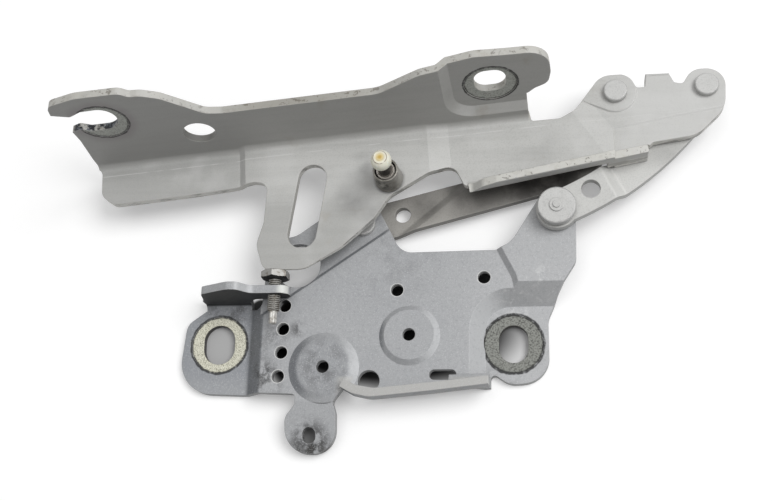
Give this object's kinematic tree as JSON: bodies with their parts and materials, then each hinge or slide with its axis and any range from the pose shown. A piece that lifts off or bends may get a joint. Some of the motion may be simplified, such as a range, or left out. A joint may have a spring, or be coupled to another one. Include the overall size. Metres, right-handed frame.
{
  "type": "bonnet hinge",
  "caption": "Pressed-steel four-bar bonnet hinge: slotted body bracket, leaning bonnet bracket with hook slot, two cranked links, riveted pivots, ball stud and stop screw.",
  "frame": {"origin": "centre of the front body slot, on the plane of the two body pads' undersides", "axes": "+X towards the rear body slot, +Y towards the bonnet flange, +Z along the pivot axes, away from the body"},
  "size_m": [0.3234, 0.1869, 0.0812],
  "materials": {
    "zinc_body": "satin",
    "zinc_bonnet": "satin",
    "zinc_front_link": "satin",
    "zinc_rear_link": "satin",
    "rivet_steel": "satin",
    "bush_bronze": "satin",
    "washer_steel": "satin",
    "stud_steel": "satin",
    "sleeve_steel": "satin",
    "ivory_plastic": "semi-gloss",
    "ochre_plastic": "matte",
    "screw_steel": "satin"
  },
  "bodies": {
    "body_side": {"lower_bracket": "zinc_body", "rivet_a": "rivet_steel", "rivet_b": "rivet_steel", "washer_b": "washer_steel"},
    "front_arm": {"front_link": "zinc_front_link", "bush_a": "bush_bronze", "bush_c": "bush_bronze"},
    "bonnet_side": {"upper_bracket": "zinc_bonnet", "rivet_c": "rivet_steel", "rivet_d_upper": "rivet_steel", "ball_stud": "stud_steel", "stud_sleeve": "sleeve_steel", "ball_cap": "ivory_plastic", "cap_centre": "ochre_plastic"},
    "rear_arm": {"rear_link": "zinc_rear_link", "bush_b": "bush_bronze", "bush_d": "bush_bronze", "rivet_d_lower": "rivet_steel"},
    "screw": {"stop_screw": "screw_steel"}
  },
  "joints": [
    {"name": "opening", "type": "hinge", "parent": "body_side", "child": "front_arm", "pos_m": [0.0735, 0.059, 0.0094], "axis": [0, 0, 1], "range_deg": [0, 36.71]},
    {"name": "bonnet_pivot", "type": "hinge", "parent": "front_arm", "child": "bonnet_side", "pos_m": [0.1985, 0.121, 0.0165], "axis": [0, 0, 1], "range_deg": [-76.75, 0]},
    {"name": "rear_pivot", "type": "hinge", "parent": "body_side", "child": "rear_arm", "pos_m": [0.169, 0.0615, 0.0165], "axis": [0, 0, 1], "range_deg": [0, 49]},
    {"name": "stop_adjust", "type": "slide", "parent": "body_side", "child": "screw", "axis": [0, -1, 0], "range_m": [0, 0.004]}
  ],
  "couplings": [
    {"joint": "bonnet_pivot", "follows": "opening", "ratio": -2.0896},
    {"joint": "rear_pivot", "follows": "opening", "ratio": 1.3335}
  ]
}
